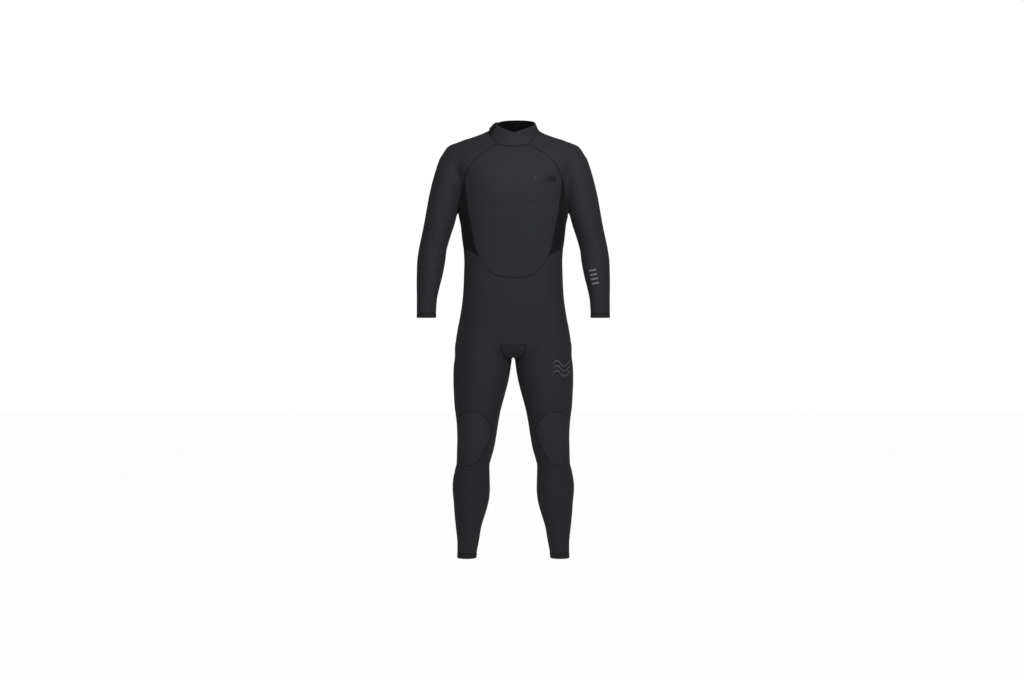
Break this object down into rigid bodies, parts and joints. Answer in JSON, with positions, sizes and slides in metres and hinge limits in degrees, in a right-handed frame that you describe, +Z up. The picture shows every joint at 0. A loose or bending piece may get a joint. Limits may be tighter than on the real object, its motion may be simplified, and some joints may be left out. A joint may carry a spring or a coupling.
{
  "type": "full wetsuit",
  "caption": "Full-length back-zip neoprene wetsuit in its worn shape, with bending elbows and knees, raised knee pads, a collar closure and a sliding zip.",
  "frame": {"origin": "centre of the neck at the height of the front collar seam", "axes": "+Z up, front faces -Y, the wearer's left is +X"},
  "size_m": [0.6322, 0.2447, 1.4433],
  "materials": {
    "neoprene": "matte",
    "side_neoprene": "matte",
    "knee_print": "matte",
    "hem": "matte",
    "hook_and_loop": "matte",
    "closure_tab": "matte",
    "zip_tape": "matte",
    "zip_teeth": "satin",
    "zip_metal": "satin",
    "zip_pull": "matte"
  },
  "bodies": {
    "suit": {"back_panel_left": "neoprene", "back_panel_right": "neoprene", "collar": "neoprene", "crotch_gusset": "neoprene", "elbow_left": "neoprene", "elbow_right": "neoprene", "front_panel": "neoprene", "knee_back_left": "neoprene", "knee_back_right": "neoprene", "knee_pad_left": "knee_print", "knee_pad_right": "knee_print", "loop_patch": "hook_and_loop", "lower_front_panel": "neoprene", "raglan_sleeve_left": "neoprene", "raglan_sleeve_right": "neoprene", "seat_left": "neoprene", "seat_right": "neoprene", "side_panel_left": "side_neoprene", "side_panel_right": "side_neoprene", "thigh_back_left": "neoprene", "thigh_back_right": "neoprene", "thigh_front_left": "neoprene", "thigh_front_right": "neoprene", "zip_baffle": "zip_tape", "zip_garage": "neoprene", "zip_stop_bottom": "zip_metal", "zip_stop_top": "zip_metal", "zip_tape_left": "zip_tape", "zip_tape_right": "zip_tape", "zip_teeth": "zip_teeth"},
    "forearm_left": {"forearm_left": "neoprene", "wrist_cuff_left": "hem"},
    "lower_leg_left": {"shin_left": "neoprene", "calf_left": "neoprene", "ankle_cuff_left": "hem"},
    "forearm_right": {"forearm_right": "neoprene", "wrist_cuff_right": "hem"},
    "lower_leg_right": {"shin_right": "neoprene", "calf_right": "neoprene", "ankle_cuff_right": "hem"},
    "slider": {"zip_slider": "zip_metal"},
    "pull": {"zip_pull_tab": "zip_pull"},
    "closure": {"collar_tab": "closure_tab", "hook_patch": "hook_and_loop"}
  },
  "joints": [
    {"name": "elbow_left", "type": "hinge", "parent": "suit", "child": "forearm_left", "pos_m": [0.264, -0.017, -0.342], "axis": [-1, 0, 0], "range_deg": [0, 95], "stiffness_Nm_per_rad": 0.4, "deforming": ["elbow_left"]},
    {"name": "knee_left", "type": "hinge", "parent": "suit", "child": "lower_leg_left", "pos_m": [0.1205, 0.018, -0.9585], "axis": [1, 0, 0], "range_deg": [0, 100], "stiffness_Nm_per_rad": 1.2, "deforming": ["knee_pad_left", "knee_back_left"]},
    {"name": "elbow_right", "type": "hinge", "parent": "suit", "child": "forearm_right", "pos_m": [-0.264, -0.017, -0.342], "axis": [-1, 0, 0], "range_deg": [0, 95], "stiffness_Nm_per_rad": 0.4, "deforming": ["elbow_right"]},
    {"name": "knee_right", "type": "hinge", "parent": "suit", "child": "lower_leg_right", "pos_m": [-0.1205, 0.018, -0.9585], "axis": [1, 0, 0], "range_deg": [0, 100], "stiffness_Nm_per_rad": 1.2, "deforming": ["knee_pad_right", "knee_back_right"]},
    {"name": "zip_slide", "type": "slide", "parent": "suit", "child": "slider", "axis": [0, 0, -1], "range_m": [0, 0.397]},
    {"name": "pull_swing", "type": "hinge", "parent": "slider", "child": "pull", "pos_m": [0, 0.1012, -0.0287], "axis": [1, 0, 0], "range_deg": [0, 110]},
    {"name": "collar_peel", "type": "hinge", "parent": "suit", "child": "closure", "pos_m": [-0.0373, 0.0523, 0.0676], "axis": [-0.4875, 0.2716, -0.8298], "range_deg": [0, 70]}
  ]
}
